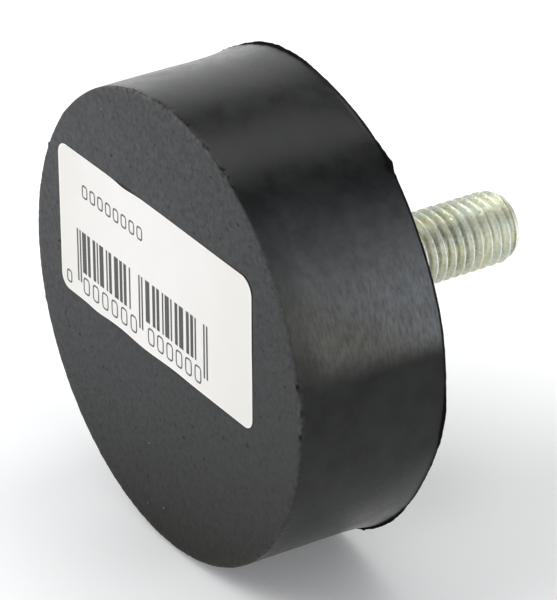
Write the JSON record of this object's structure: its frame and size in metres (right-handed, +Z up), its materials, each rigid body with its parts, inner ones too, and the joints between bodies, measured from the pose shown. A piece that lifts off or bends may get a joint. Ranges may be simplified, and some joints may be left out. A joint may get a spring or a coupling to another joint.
{
  "type": "rubber buffer",
  "caption": "Round rubber buffer bonded to a steel plate, with one threaded stud to fasten it and a plain rubber face to strike against.",
  "frame": {"origin": "middle of the mounting face, where the stud leaves the steel plate", "axes": "+Y along the buffer's axis to the stud's free end, the striking face looks along -Y, +Z up as the label reads"},
  "size_m": [0.0757, 0.0632, 0.0765],
  "materials": {
    "black_rubber": "moulded natural rubber, matt face and smoother side",
    "plate_steel": "zinc plated, satin",
    "stud_steel": "zinc plated and passivated pale yellow",
    "label_paper": "coated white paper"
  },
  "bodies": {
    "root": {"rubber_body": "black_rubber", "steel_plate": "plate_steel", "threaded_stud": "stud_steel", "label": "label_paper"}
  },
  "joints": []
}
